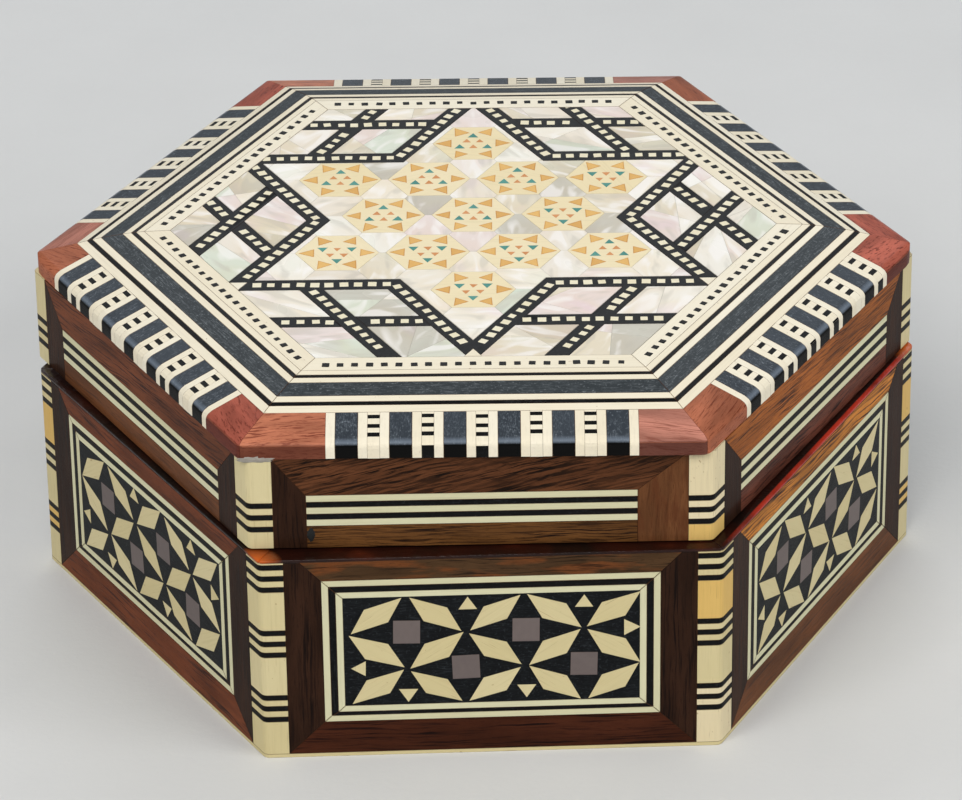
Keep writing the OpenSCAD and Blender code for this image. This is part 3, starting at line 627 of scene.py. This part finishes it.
def craft(name, bm, body, material, replaced=(), bevel=0.05, along=None, segments=1, edge=1.0, smooth=10,
          nose=0.0, slot=None):
    """Turns a bmesh into a finished piece: small bevels, and attributes for grain, tone and glue lines.

    bevel and nose are widths in millimetres, of all edges and of the moulding's own crease. edge is how much glue
    shows on the bevels, and smooth is the angle in degrees up to which faces are shaded as one.
    """
    solids = number_solids(bm, rng_for(name), along)
    marked = bm.faces.layers.float.new("edge")
    if nose:
        bevelled(bm, [e for e in sharp_edges(bm) if all(exposed(f) for f in e.link_faces)], nose, NOSE_STEPS)
    for f in bevelled(bm, sharp_edges(bm), bevel, segments):
        f[marked] = edge
    mesh = bpy.data.meshes.new(name)
    bm.to_mesh(mesh)
    bm.free()
    grain_attributes(mesh, solids)
    for m in material if isinstance(material, list) else [material]:
        mesh.materials.append(m)
    mesh.shade_smooth()
    mesh.set_sharp_from_angle(angle=math.radians(smooth))
    o = bpy.data.objects.new(name, mesh)
    bpy.context.scene.collection.objects.link(o)
    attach(o, body)
    if replaced:
        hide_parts(*replaced)
    return o


def from_node(node, material, choose=None, **options):
    """A piece that keeps its CAD node's shape and gains bevels, grain and tone.

    choose gives the number of the material for a solid with this centre.
    """
    bm = welded(node)
    if choose:
        for group in islands(bm):
            number = choose(Vector(axes_of([v.co for v in group])[0]))
            for f in faces_of(group):
                f.material_index = number
    return craft("fine_" + node, bm, NODES[node]["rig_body"], material, replaced=[node], **options)


# ------------------------------------------------------------------- pieces

# Nodes that keep their shape: material and options of craft
PLAIN_NODES = {
    "base_foot_line": (BONE_SIDE, {}),
    "base_top_strips": (LACQUER, {"bevel": 0.12, "segments": 2, "edge": 0, "smooth": 35}),
    "base_post_bands": (EBONY, {"smooth": 20}),
    "base_frame_outer": (BONE_LINE, {}),
    "base_frame_black": (EBONY, {}),
    "base_frame_inner": (BONE_LINE, {}),
    "lid_post_bands": (EBONY, {"smooth": 20}),
    "lid_bone_lines": (BONE_LINE, {}),
    "lid_black_lines": (EBONY, {}),
    "moulding_cream_strips": (BONE_TOP, {"nose": 0.3, "smooth": 25}),
    "moulding_black_blocks": (HORN, {"nose": 0.3, "smooth": 25}),
    "border_bone_outer": (BONE_TOP, {}),
    "border_black_outer": (EBONY, {}),
    "border_bone_second": (BONE_TOP, {}),
    "border_black_wide": (EBONY_WORN_AND_SHEEN, {}),
    "border_bone_third": (BONE_TOP, {}),
    "border_black_inner": (EBONY, {}),
    "border_bone_inner": (BONE_TOP, {}),
    "star_tip_pieces": (BONE_TOP, {}),
}

# The wood of each rail, from the front side round to the right
RAILS = {
    "lid_top_rails": ("diagonal", "tawny", "reddish", "diagonal", "reddish", "red_streaked"),
    "lid_bottom_rails": ("olive", "purple", "brown", "olive", "brown", "brown"),
    "base_top_rails": ("mottled", "orange", "brown", "mottled", "orange", "reddish"),
    "base_bottom_rails": ("red_dark", "brown", "reddish", "red_dark", "red_dark", "reddish"),
}
# The padauk at the left and right end of each side of the moulding
CORNER_WOODS = (
    ("padauk_orange", "padauk_mauve"), ("padauk_brown", "padauk_pink"), ("padauk_pink", "padauk_brown"),
    ("padauk_mauve", "padauk_orange"), ("padauk_pink", "padauk_mauve"), ("padauk_brown", "padauk_pink"),
)


def wood_pieces(node, names, choose, **options):
    """A node's solids, each in one of the named woods."""
    kinds = sorted(set(names))
    from_node(node, [WOODS[n] for n in kinds], lambda c: kinds.index(choose(c)), **options)


def corner_wood(c):
    """Each corner piece of the moulding is cut from its own board."""
    c = FROM_TOP @ c
    to_the_right = Vector(UP).cross(side_normal(side_of(c)))
    return CORNER_WOODS[side_of(c)][1 if c.dot(to_the_right) > 0 else 0]


PLAIN, PALE, GOLD = 0, 1, 2


def post_bone(c):
    """Number of the bone for a corner post's block, by its corner and its height in millimetres."""
    corner, z = corner_of(c), c.z / MM
    if corner == 0:
        return GOLD if 24 < z < 31 or 38 < z < 41 else PALE if z > 38 or z < 14 else PLAIN
    if corner in (1, 4):
        return GOLD if 24 < z < 31 or 8 < z < 12 else PLAIN
    return PLAIN


def side_work():
    """Everything on the sides but the mosaic, and the plain strips of the top."""
    for node, (material, options) in PLAIN_NODES.items():
        from_node(node, material, **options)
    for node, names in RAILS.items():
        wood_pieces(node, names, lambda c, names=names: names[side_of(c)])
    wood_pieces("base_stiles", ("stile",), lambda c: "stile", along=UP)
    wood_pieces("lid_stiles", ("stile", "patch"),
                lambda c: "patch" if side_of(c) == 0 and c.x > 0 else "stile", along=UP)
    wood_pieces("moulding_corners", [n for pair in CORNER_WOODS for n in pair], corner_wood,
                nose=0.3, smooth=25)
    for node in ("base_post_blocks", "lid_post_blocks"):
        from_node(node, [BONE_SIDE, BONE_PALE, BONE_GOLD], post_bone, along=UP, smooth=20)


# How far the front's mosaic lies to the right of its middle
FRONT_SLIP = 0.6 * MM


def mosaic():
    """Black ground in one block on each face, with the bone and shell pieces let into it."""
    craft("mosaic_ground_fine", hulls(welded("mosaic_ground")), "base", EBONY_GROUND, ["mosaic_ground"],
          edge=0)
    for node, material, wobble in (("mosaic_lozenges", BONE_SIDE, 0.07), ("mosaic_squares", GREY_SHELL, 0.12),
                                   ("mosaic_triangles", BONE_SIDE, 0.2)):
        bm = welded(node)
        jitter(bm, rng_for(node), wobble, 0.02, 1.2)
        for v in bm.verts:
            if side_of(v.co) == 0:
                v.co.x += FRONT_SLIP
        craft(node + "_fine", bm, "base", material, [node], bevel=0.03)


def around(faces):
    """Faces with their edges and vertices, as the bisect operator wants them."""
    return list(faces) + list({e for f in faces for e in f.edges}) + list({v for f in faces for v in f.verts})


def cut(bm, at, normal, faces):
    """Parts faces along a plane."""
    made = bmesh.ops.bisect_plane(bm, geom=around(faces), dist=CUT_SNAP, plane_co=at, plane_no=normal)
    edges = [g for g in made["geom_cut"] if isinstance(g, bmesh.types.BMEdge)]
    bmesh.ops.split_edges(bm, edges=edges)


def lattice_cuts(bm):
    """Parts flat faces inside the big star along the lines through the small stars' centres."""
    step = STAR_PITCH * math.sqrt(3) / 2
    for k in range(3):
        angle = math.radians(60 * k)
        across = Vector((-math.sin(angle), math.cos(angle), 0))
        for i in range(-3, 4):
            cut(bm, TO_TOP @ (STAR_SHIFT + across * step * i), (TO_TOP.to_3x3() @ across).normalized(),
                bm.faces[:])


def slices(bm, faces, planes):
    """Cuts faces along (point, normal) planes without parting them, and returns the new set of faces."""
    for at, normal in planes:
        made = bmesh.ops.bisect_plane(bm, geom=around(faces), dist=CUT_SNAP, plane_co=at, plane_no=normal)
        faces = {x for x in made["geom"] if isinstance(x, bmesh.types.BMFace)}
    return faces


def part_of(bm, wanted):
    """A copy of the mesh with only the vertices whose number is in wanted."""
    out = bm.copy()
    out.verts.ensure_lookup_table()
    bmesh.ops.delete(out, geom=[v for v in out.verts if v.index not in wanted], context="VERTS")
    return out


# Panes smaller than this are cut once, and the others twice
SMALL_PANE = 6 * MM


def shell_work():
    """Mother-of-pearl, cut into small shards."""
    bm = filled_tops("shell_panels")
    bm.verts.index_update()
    rng = rng_for("shell")
    inner = {v.index for v in max(islands(bm), key=len)}
    star = part_of(bm, inner)
    lattice_cuts(star)
    panes = part_of(bm, {v.index for v in bm.verts} - inner)
    for group in islands(panes):
        c = Vector(axes_of([v.co for v in group])[0])
        size = max((v.co - c).length for v in group)
        for _ in range(1 if size < SMALL_PANE else 2):
            angle = rng.uniform(0, math.pi)
            at = c + Vector((rng.gauss(0, 0.25), rng.gauss(0, 0.25), 0)) * size
            cut(panes, at, Vector((math.cos(angle), math.sin(angle), 0)), faces_of(group))
    mesh = bpy.data.meshes.new("panes")
    panes.to_mesh(mesh)
    star.from_mesh(mesh)
    panes.free()
    bm.free()
    whole_faces(star)
    thicken(star)
    craft("pearl_shards", star, "lid", PEARL, ["shell_panels"], bevel=0.04)


def strips_work():
    """The star's strips: black, with a row of bone squares let in."""
    bm = filled_tops("star_strips", "star_strip_squares")
    thicken(bm)
    craft("strips_black", bm, "lid", EBONY, ["star_strips"], edge=0.3)
    bm = welded("star_strip_squares")
    jitter(bm, rng_for("strip squares"), 0.08, 0.06, 3.0)
    craft("strips_squares", bm, "lid", BONE_SQUARE, ["star_strip_squares"], bevel=0.08, edge=0.4)


# The dots of the border stand a little prouder than other inlay
DOTS_PROUD = 0.035 * MM


def dotted_work():
    """The border's bone band with its row of black dots."""
    craft("border_dotted_fine", hulls(welded("border_dotted")), "lid", BONE_TOP, ["border_dotted"])
    bm = welded("border_dots")
    jitter(bm, rng_for("dots"), 0.06, 0.07, 2.5, lift=DOTS_PROUD)
    craft("border_dots_fine", bm, "lid", EBONY, ["border_dots"], bevel=0.06, edge=0)


# The small triangles in a star's heart reach less far from their middle than this, and are made larger
HEART_REACH = 1.25 * MM
HEART_GROW = 1.25
AMBER_RIM = 0.52 * MM


def small_star_work():
    """The small bone stars, with amber points that have a light middle, and amber and green hearts."""
    bm = filled_tops("small_stars", "small_star_amber", "small_star_green")
    thicken(bm)
    craft("small_stars_fine", bm, "lid", BONE_STAR, ["small_stars"], edge=0.5)
    for node, materials in (("small_star_amber", [AMBER, AMBER_HEART, AMBER_LIGHT]), ("small_star_green", [GREEN])):
        amber = node == "small_star_amber"
        bm = welded(node)
        jitter(bm, rng_for(node), 0.04, 0.04, 2.0)
        for group in islands(bm):
            c = middle(group)
            heart = max((v.co - c).xy.length for v in group) < HEART_REACH
            for f in faces_of(group):
                f.material_index = 1 if heart and amber else 0
            for v in group if heart else ():
                v.co.xy = c.xy + (v.co.xy - c.xy) * HEART_GROW
        if amber:
            bm.normal_update()
            tops = [f for f in bm.faces if f.normal.z > 0.9 and f.material_index == 0]
            bmesh.ops.inset_individual(bm, faces=tops, thickness=AMBER_RIM)
            for f in tops:
                f.material_index = 2
        craft(node + "_fine", bm, "lid", materials, [node], bevel=0.1)


# Black bars across each chequered strip of the moulding, as ranges of distance from the lid's centre, and how far
# they and the nose's bar stray from strip to strip, in millimetres. This share of the strips ends in black.
CHECK_BARS = ((58.95, 59.75), (60.95, 61.8), (62.8, 63.7))
CHECK_STRAY = 0.3
BLACK_ENDS = 0.6


def checks_work():
    """Chequered strips: each is cut across, and every second part is black."""
    bm = welded("moulding_checks")
    rng = rng_for("checks")
    start = TO_TOP.to_translation()
    for group in islands(bm):
        normal = TO_TOP.to_3x3() @ side_normal(side_of(FROM_TOP @ middle(group)))
        shift = rng.uniform(-CHECK_STRAY, CHECK_STRAY)
        nose = (NOSE + rng.uniform(-CHECK_STRAY, CHECK_STRAY)) * MM
        planes = [(start + normal * (a + shift) * MM, normal) for bar in CHECK_BARS for a in bar]
        planes.append((Vector((0, 0, nose)), Vector(UP)))
        black_end = rng.random() < BLACK_ENDS
        for f in slices(bm, faces_of(group), planes):
            c = f.calc_center_median()
            a = (c - start).dot(normal) / MM - shift
            black = any(low < a < high for low, high in CHECK_BARS) if c.z > nose else black_end
            f.material_index = 1 if black else 0
    craft("moulding_checks_fine", bm, "lid", [BONE_TOP, EBONY], ["moulding_checks"], edge=0.5)


CORE_NODES = ("base_floor_board", "base_walls", "base_wall_back", "lid_board", "lid_walls", "lid_wall_back")


def core_and_hinges():
    """The CAD's own boards in their timber, and the metal of the hinges."""
    for node in CORE_NODES:
        for s in NODES[node].material_slots:
            s.material = CORE
    for node in ("base_hinge_leaves", "lid_hinge_leaves"):
        from_node(node, BRASS, bevel=0.1, segments=2, edge=0, smooth=35)
    for node in ("base_hinge_screws", "lid_hinge_screws"):
        screws(node)
    from_node("hinge_pins", STEEL, bevel=0.1, segments=2, edge=0, smooth=35)


SLOT_HALF = 0.22 * MM
SLOT_DEPTH = 0.3 * MM
SLOT_WALL = 0.04 * MM


def screws(node):
    """Round-headed brass screws, each with its slot turned its own way."""
    bm = welded(node)
    rng = rng_for(node)
    bm.normal_update()
    round_faces = (f for f in bm.faces if abs(f.normal.z) < 0.3 and len(f.verts) > 8)
    for cap in sorted(round_faces, key=lambda f: f.calc_area())[-4:]:
        centre, out = cap.calc_center_median(), cap.normal.copy()
        turn = Matrix.Rotation(rng.uniform(0, math.pi), 3, out)
        across = turn @ Vector(UP).cross(out).normalized()
        faces = slices(bm, {cap}, [(centre + across * s * SLOT_HALF, across) for s in (-1, 1)])
        strip = min(faces, key=lambda f: abs((f.calc_center_median() - centre).dot(across)))
        bmesh.ops.inset_individual(bm, faces=[strip], thickness=SLOT_WALL)
        bmesh.ops.translate(bm, verts=strip.verts[:], vec=-out * SLOT_DEPTH)
    craft("slotted_" + node, bm, NODES[node]["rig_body"], BRASS, [node], edge=0, smooth=35)


# Velvet: the longest distance between two grid lines, how far the pile sinks, and the scale of its waves
VELVET_GRID = 2.5 * MM
VELVET_SINK = 0.3 * MM
VELVET_WAVES = 180
FLOOR_CUT = {"flat": (0.133, 0.1155), "area": 0.01155}
LININGS = (  # node, piece, the board behind it, the side that shows (0 for walls), how it is held, and its cut
    ("base_lining_floor", "velvet_floor", "base_floor_board", 1, "laid", FLOOR_CUT),
    ("base_lining_walls", "velvet_walls", "base_walls", 0, "stretched", {"flat": (0.393, 0.0335)}),
    ("lid_lining_top", "velvet_lid", "lid_board", -1, "stretched", FLOOR_CUT),
    ("lid_lining_walls", "velvet_lid_walls", "lid_walls", 0, "stretched", {"flat": (0.393, 0.0155)}),
)


def linings():
    """Velvet glued to the boards inside."""
    for node, name, board, inside, held, cloth in LININGS:
        bm = welded(node)
        for group in islands(bm):
            pile_side(bm, group, inside)
        o = craft(name, bm, NODES[node]["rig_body"], VELVET, [node], bevel=0.2, segments=2, edge=0, smooth=60)


def pile_side(bm, group, inside):
    """Gives one slab of velvet a fine grid and an uneven surface on the side that faces the hollow."""
    points = np.array([v.co for v in group])
    c, axes = axes_of(points)
    into = Vector((0, 0, inside)) if inside else -outward(c)
    faces = faces_of(group)
    for e in axes[:2]:
        span = (points - c) @ e
        steps = int((span.max() - span.min()) / VELVET_GRID)
        spots = np.linspace(span.min(), span.max(), steps + 2)[1:-1]
        faces = slices(bm, faces, [(Vector(c + e * s), Vector(e)) for s in spots])
    verts = {v for f in faces for v in f.verts}
    top = max(v.co.dot(into) for v in verts)
    for v in verts:
        if v.co.dot(into) > top - 0.01 * MM:
            v.co -= into * VELVET_SINK * (0.5 + 0.5 * noise.noise(v.co * VELVET_WAVES))


# Mended spots: the frame they lie in, their place, and half their width and height, in millimetres
PUTTY = (
    ("putty_corner", TO_TOP, (-35.0, -65.05, 55.0), (3.1, 0.5), PUTTY_WHITE, "moulding_bone"),
    ("putty_rail", TO_LID, (-27.4, -64.9, 40.8), (0.7, 1.3), PUTTY_GREY, "dark_rosewood"),
)
PUTTY_POINTS = 30
PUTTY_ROUGH = 0.13
PUTTY_TAPER = 0.88
PUTTY_PROUD = 0.12 * MM


def putty():
    """Irregular spots of filler pressed over joints at the front of the lid."""
    for name, place, (x, y, z), (half_width, half_height), material, slot in PUTTY:
        rng = rng_for(name)
        bm = bmesh.new()
        rim = []
        for i in range(PUTTY_POINTS):
            a, r = 2 * math.pi * i / PUTTY_POINTS, 1 + rng.gauss(0, PUTTY_ROUGH)
            spot = Vector((x + math.cos(a) * half_width * r, y, z + math.sin(a) * half_height * r))
            rim.append(bm.verts.new(place @ (spot * MM)))
        made = bmesh.ops.extrude_face_region(bm, geom=[bm.faces.new(rim)], use_keep_orig=True)
        front = new_verts(made)
        centre = middle(front)
        for v in front:
            v.co = centre + (v.co - centre) * PUTTY_TAPER + place.to_3x3() @ Vector((0, -PUTTY_PROUD, 0))
        bmesh.ops.recalc_face_normals(bm, faces=bm.faces)
        craft(name, bm, "lid", material, bevel=0.03, edge=0, smooth=60, slot=slot)


# -------------------------------------------------------------------- stage

# The camera as fitted to the photo: focal length on a full frame, and tilt, roll and azimuth in degrees
LENS = 202.8
SENSOR = 36
CAMERA_AT = Vector((-21.33, -809.20, 496.06)) * MM
CAMERA_TURN = (60.039, -0.797, -1.548)
FLOOR_REACH = 4.0

# Area lights: place, width and height, power and colour, all turned to the box
LIGHTS = {
    "key": ((-0.5, -0.9, 1.3), (1.2, 0.9), 19, (1.0, 0.98, 0.95)),
    "fill": ((1.1, -0.7, 0.9), (1.0, 1.0), 10, (1.0, 0.99, 0.97)),
    "back": ((0.1, 1.5, 0.95), (1.8, 0.8), 9, (0.92, 0.96, 1.0)),
}
LIT_POINT = Vector((0, 0, 0.03))
SKY_COLOUR = (0.78, 0.84, 0.92, 1)
SKY_STRENGTH = 0.28


def camera():
    data = bpy.data.cameras.new("camera")
    data.lens = LENS
    data.sensor_width = SENSOR
    data.clip_start, data.clip_end = 0.01, 20
    o = bpy.data.objects.new("camera", data)
    tilt, roll, azimuth = (math.radians(a) for a in CAMERA_TURN)
    o.matrix_world = (Matrix.Translation(CAMERA_AT) @ Matrix.Rotation(azimuth, 4, "Z")
                      @ Matrix.Rotation(tilt, 4, "X") @ Matrix.Rotation(roll, 4, "Z"))
    bpy.context.scene.collection.objects.link(o)
    bpy.context.scene.camera = o


def floor():
    mesh = bpy.data.meshes.new("floor")
    r = FLOOR_REACH
    mesh.from_pydata([(-r, -r, 0), (r, -r, 0), (r, r, 0), (-r, r, 0)], [], [(0, 1, 2, 3)])
    s = Shader("pale_floor", roughness=0.7)
    colour = s.mix(s.noise(s.place(), scale=30.0), (0.62, 0.62, 0.61), (0.68, 0.68, 0.67))
    mesh.materials.append(s.finish(colour, None, s.bump(s.noise(s.place(), 2.0, scale=900.0), 0.05)))
    o = bpy.data.objects.new("floor", mesh)
    bpy.context.scene.collection.objects.link(o)


def lights():
    for name, (at, size, power, colour) in LIGHTS.items():
        data = bpy.data.lights.new(name, "AREA")
        data.shape = "RECTANGLE"
        data.size, data.size_y = size
        data.energy = power
        data.color = colour
        o = bpy.data.objects.new(name, data)
        o.location = at
        o.rotation_mode = "QUATERNION"
        o.rotation_quaternion = (LIT_POINT - Vector(at)).to_track_quat("-Z", "Y")
        bpy.context.scene.collection.objects.link(o)
    world = bpy.data.worlds.new("world")
    world.use_nodes = True
    background = world.node_tree.nodes["Background"].inputs
    background[0].default_value = SKY_COLOUR
    background[1].default_value = SKY_STRENGTH
    bpy.context.scene.world = world
    bpy.context.scene.view_settings.view_transform = "Standard"


side_work()
mosaic()
shell_work()
strips_work()
dotted_work()
small_star_work()
checks_work()
core_and_hinges()
linings()
putty()
camera()
floor()
lights()
